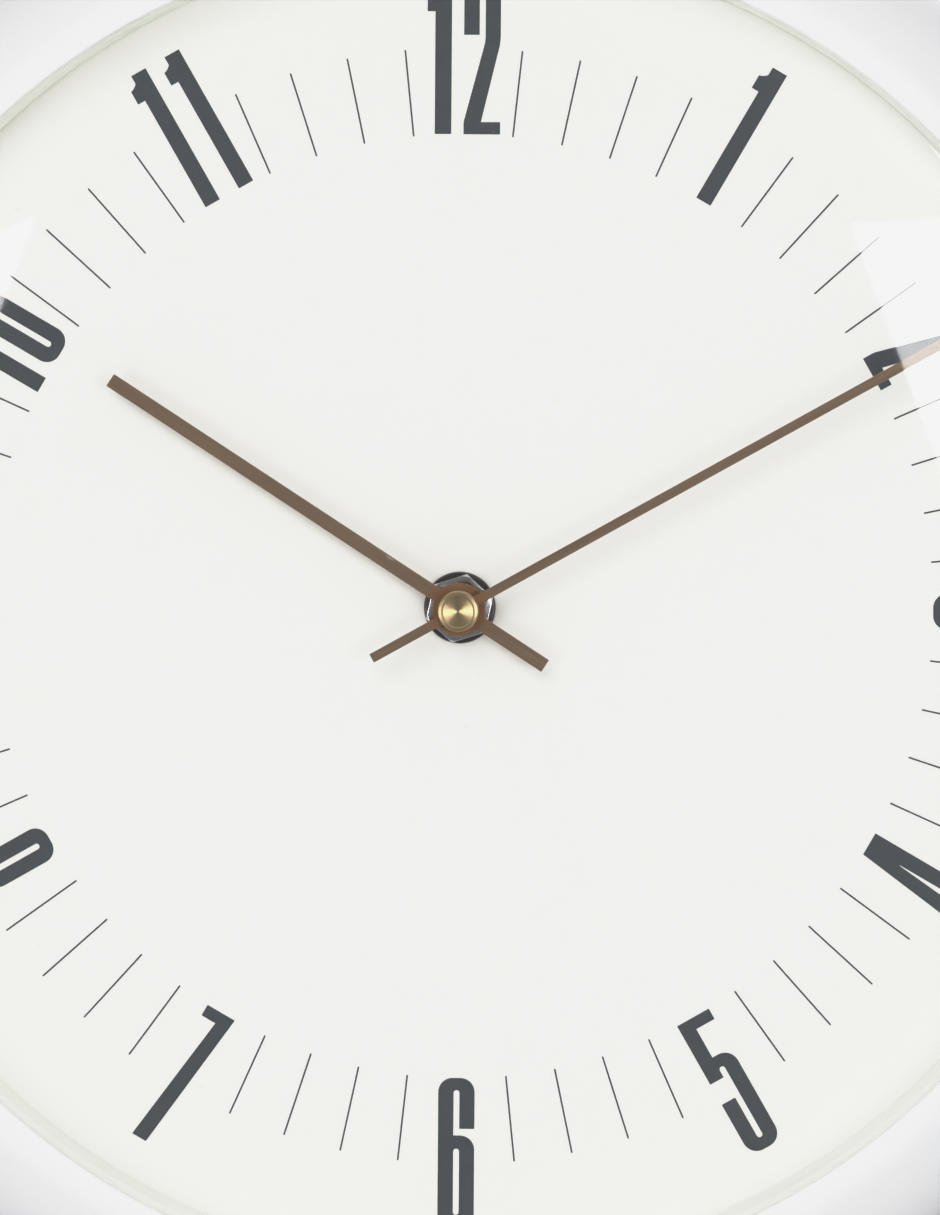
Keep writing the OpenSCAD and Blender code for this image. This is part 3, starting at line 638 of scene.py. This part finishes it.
# %% Spacer ring
seat_r = radius("spacer_ring")
ring_low, ring_high = low("spacer_ring"), high("spacer_ring")
foot_r, foot_high, undercut_r = 125.1, 0.3, 126.0
flange, web_low_r, web_high_r = 1.6, 127.3, 128.3
brow_r, brow_round = 127.0, 0.3
bm = bmesh.new()
pen = Pen(bm, foot_r, ring_low)
pen.line(seat_r, ring_low).line(seat_r, ring_low + flange)
pen.line(web_low_r, ring_low + flange).line(web_high_r, ring_high - flange)
pen.line(seat_r, ring_high - flange).line(seat_r, ring_high)
pen.line(brow_r, ring_high).arc(brow_r, ring_high - brow_round, -80, 4)
pen.line(126.35, ring_high - 2.2).line(126.1, ring_high - 2.5)
pen.line(125.5, ring_low + 1.0).line(undercut_r, ring_low + 0.8)
pen.line(undercut_r, ring_low + foot_high).line(foot_r, ring_low + foot_high)
pen.close()
spin_section(bm, 256)
stand(bm, "spacer_channel", "spacer_ring", 30).data.materials.append(finishes["ring_grey"])

# %% Lens
rise, dome_r = high("glass_lens") - lens_z, 126.5
hollow_r = dome_r - 0.5
ball = (dome_r ** 2 + rise ** 2) / (2 * rise)
dome_z = lens_z + rise - ball
gap = 0.02
outer = math.degrees(math.asin(dome_r / ball))
hollow_ball = ball - LENS_THICK
inner = math.degrees(math.asin(hollow_r / hollow_ball))
bm = bmesh.new()
pen = Pen(bm, 0, lens_z + rise)
pen.arc(0, dome_z, outer, 40).line(seat_r, lens_z - gap)
pen.line(seat_r, lens_z - LENS_THICK + gap).line(hollow_r, lens_z - LENS_THICK + gap)
pen.line(hollow_r, dome_z + hollow_ball * math.cos(math.radians(inner)))
pen.arc(0, dome_z, -inner, 40)
spin_section(bm, 192)
stand(bm, "domed_lens", "glass_lens", 40).data.materials.append(finishes["lens_glass"])

# %% [markdown]
# ## Hands
# Each hand is one flat strip with a round hub, pressed from sheet and brushed along its
# length. The CAD outline is right, so it only gets its pressed edges eased. The grain is
# noise stretched sixty times along the hand, in axes turned to the hand's own angle, and
# a sparse second noise mixes small lighter specks into the colour. The colour grows redder
# over the hub, where the cap throws its own warm light on it.

# %% Bronze hands
HUB_EDGE, HUB_FADE = 7.5, 2.5


def hand_finish(name, degrees):
    p = Paint(name)
    along = math.radians(degrees)
    grain = p.noise(5000.0, 3.0, (1, 1, 60), along, 0.6)
    streak = p.noise(1500.0, 2.0, (1, 1, 25), along)
    # small lighter specks: a sparse noise that mixes a pale colour into the bronze
    lighter_speck = p.noise(330.0, 2.0, (1, 1, 1.6), along) > 0.735
    hub = (HUB_EDGE * MM - p.radius()) / (HUB_FADE * MM)
    bronze = p.mix(streak, rgb((0.186, 0.124, 0.080)), rgb((0.286, 0.197, 0.130)))
    warmed = p.mix(hub, bronze, rgb((0.285, 0.155, 0.080)))
    return p.set(
        base_color=p.mix(lighter_speck * 0.35, warmed, rgb((0.62, 0.55, 0.48))),
        roughness=0.36 + (grain - 0.5) * 0.2,
        normal=p.bump(grain, 0.006 * MM),
        metallic=0.55)


HOUR_ANGLE, MINUTE_ANGLE = 302.9, 60.6
hour = eased("hour_hand", "hour_bar", 0.12)
hour.data.materials.append(hand_finish("hand_bronze_hour", HOUR_ANGLE))
minute = eased("minute_hand", "minute_bar", 0.1)
minute.data.materials.append(hand_finish("hand_bronze_minute", MINUTE_ANGLE))

# %% [markdown]
# ## The stack at the centre
# From the dial up there are a dark washer, a plated hexagon nut, the two hubs, and a
# turned brass cap. The cap is what the eye goes to. Its face was cut on a lathe, so it
# has fine rings, and rings throw light into two bright fans. The rings are real grooves
# in the mesh, a fifth of a millimetre apart, because a bump that fine fades away at a
# distance and the fans would go with it. A wide shallow chamfer carries the bright rim.

# %% Brass cap
p = Paint("brass")
turned = p.rings(0.00009, 3.0)
metal(p, "brass", (0.53, 0.40, 0.233), 0.30, turned, 0.002, 0.1, uneven=0.06)
cap_r, cap_low, cap_high = radius("cap_nut"), low("cap_nut"), high("cap_nut")
groove, groove_depth, face_z = 0.2, 0.022, cap_high - 0.12
bm = bmesh.new()
pen = Pen(bm, 1.3, cap_low)
pen.line(cap_r - 0.25, cap_low).line(cap_r, cap_low + 0.25).line(cap_r, cap_high - 0.4)
pen.arc(cap_r - 0.25, cap_high - 0.4, -60, 4).line(cap_r - 0.6, cap_high - 0.06)
pen.arc(cap_r - 0.66, cap_high - 0.12, -60, 3).line(cap_r - 0.85, face_z)
for k in range(14):
    at = cap_r - 0.9 - groove * k
    pen.line(at, face_z).line(at - groove / 2, face_z - groove_depth)
pen.line(0, face_z)
spin_section(bm, 96)
bmesh.ops.holes_fill(bm, edges=bm.edges[:], sides=0)
stand(bm, "brass_cap", "cap_nut", 20).data.materials.append(finishes["brass"])

# %% Nut and washer
eased("mounting_nut", "hex_nut", 0.14, 3).data.materials.append(finishes["nut_chrome"])
washer_r, washer_low, washer_high = (
    radius("mounting_washer"), low("mounting_washer"), high("mounting_washer"))
washer_bore, bore_ease, washer_ease, washer_round = 4.1, 0.2, 0.15, 0.4
bm = bmesh.new()
pen = Pen(bm, washer_bore, washer_low)
pen.line(washer_r - washer_ease, washer_low).line(washer_r, washer_low + washer_ease)
pen.line(washer_r, washer_high - washer_round)
pen.arc(washer_r - washer_round, washer_high - washer_round, -90, 5)
pen.line(washer_bore + bore_ease, washer_high).line(washer_bore, washer_high - bore_ease)
pen.close()
spin_section(bm, 96)
stand(bm, "dark_washer", "mounting_washer", 30).data.materials.append(finishes["washer_dark"])

# %% [markdown]
# ## The back
# Behind, a white cover with two moulded grooves carries a steel keyhole plate, and the
# black movement shows in a square window with its setting knob and battery. Their
# outlines are right in CAD, so the ones that show get eased edges: a moulded case
# without them looks like a paper model.

# %% Easing the parts that show from behind
for node, name, width in (
        ("back_cover", "cover_moulding", 0.35), ("hanger_plate", "keyhole_plate", 0.15),
        ("movement_case_front", "case_body", 0.25), ("movement_case_back", "case_lid", 0.2),
        ("setting_knob", "knob", 0.08)):
    made = eased(node, name, width)
    made.data.materials.append(finishes[slot_of[node]])

# %% [markdown]
# The battery is a steel can in a plain shrink sleeve. The sleeve stops short of both
# ends and curls over the shoulders, and a nub stands on the positive end. The section is
# drawn along the cell's own axis, and a turn of ninety degrees lays it in the bay.

# %% Battery
p = Paint("cell_label")
shrink = p.noise(260.0, 2.0, (6, 1, 1))
BAND, SLEEVE = (14.5, 24.2), (-24.85, 24.45)
band = (p.axis("X") > BAND[0] * MM) * (p.axis("X") < BAND[1] * MM)
bare = (p.axis("X") > SLEEVE[1] * MM) + (p.axis("X") < SLEEVE[0] * MM)
printed = p.mix(band, rgb((0.030, 0.045, 0.085)), rgb((0.50, 0.50, 0.49)))
finishes["cell_label"] = p.set(
    base_color=p.mix(bare, printed, rgb((0.62, 0.62, 0.60))),
    roughness=0.24 + (shrink - 0.5) * 0.12,
    normal=p.bump(shrink, 0.02 * MM),
    metallic=bare * 0.95,
    coat_weight=(1 - bare) * 0.4)
cell_a, cell_b = (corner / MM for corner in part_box("battery_cell"))
cell_r = (cell_b.z - cell_a.z) / 2
cell_l = cell_b.x - cell_a.x
nub_r, nub_high, nub_round = 2.75, 1.05, 0.3
heel, shoulder_round = 0.7, 0.8
can_l = cell_l - nub_high
bm = bmesh.new()
pen = Pen(bm, 0, 0)
pen.line(cell_r - 2.2, 0).line(cell_r - 2.0, 0.2).line(cell_r - 0.9, 0.2)
pen.line(cell_r - heel, 0.05).arc(cell_r - heel, heel + 0.05, -90, 6)
pen.line(cell_r, can_l - 0.9).arc(cell_r - shoulder_round, can_l - 0.9, -90, 6)
pen.line(cell_r - 0.95, can_l - 0.35).line(nub_r + 0.2, can_l - 0.35)
pen.line(nub_r, can_l - 0.1).line(nub_r, cell_l - nub_round)
pen.arc(nub_r - nub_round, cell_l - nub_round, -90, 4).line(0, cell_l)
spin_section(bm, 96)
lay = Matrix.Translation((cell_a.x, (cell_a.z + cell_b.z) / 2, -(cell_a.y + cell_b.y) / 2)) \
    @ Matrix.Rotation(math.pi / 2, 4, "Y")
stand(bm, "cell", "battery_cell", 40, lay).data.materials.append(finishes["cell_label"])

# %% [markdown]
# ## Coil and circuit board
# The coil is thousands of turns of enamelled copper wire. Turns that fine read as a
# silky ribbing, so the winding's shape stays plain and a sine along its length makes the
# ribs. The board is green resist over copper tracks, which show as paler lines.

# %% Winding and board finishes
p = Paint("copper")
WIRE_PITCH = 0.16
turns = (p.axis("Z") * (2 * math.pi / (WIRE_PITCH * MM))).sine() * 0.5 + 0.5
metal(p, "copper", (0.62, 0.25, 0.12), 0.3, turns, 0.04, 0.2)

p = Paint("board")
rail = (p.axis("X") * 2600.0).sine() > 0.72
rung = (p.axis("Z") * 2100.0 + 0.8).sine() > 0.78
patch = p.noise(170.0, 1.0) > 0.5
tracks = rail * patch + rung * (1 - patch)
finishes["board"] = p.set(
    base_color=p.mix(tracks, rgb((0.012, 0.085, 0.035)), rgb((0.035, 0.20, 0.075))),
    roughness=0.34 + (p.noise(900.0) - 0.5) * 0.1,
    normal=p.bump(tracks, 0.03 * MM))

# %% [markdown]
# ## Dressing the remaining CAD parts
# Every other part keeps its CAD mesh, whose shape is already right, and takes the finish
# that its material slot in the record names.

# %% Dressing
for node, obj in frame["nodes"].items():
    if not obj.hide_render:
        obj.data.materials.clear()
        obj.data.materials.append(finishes[slot_of[node]])
        print(f"{node} wears {slot_of[node]}")

# %% [markdown]
# ## Floor
# A wide pale floor lies well below the clock, which hangs as it would on a wall. It's
# hidden from mirrored rays, so that its horizon doesn't draw a line across the lens.

# %% Floor
FLOOR_Z = -0.75
bm = bmesh.new()
bmesh.ops.create_grid(bm, x_segments=1, y_segments=1, size=30)
bmesh.ops.translate(bm, verts=bm.verts[:], vec=(0, 0, FLOOR_Z))
mesh = bpy.data.meshes.new("floor")
bm.to_mesh(mesh)
bm.free()
floor = bpy.data.objects.new("floor", mesh)
bpy.context.scene.collection.objects.link(floor)
floor.visible_glossy = False
mesh.materials.append(plastic("floor_paint", (0.80, 0.80, 0.81), 0.75, 200.0, 0.02, 0.02))
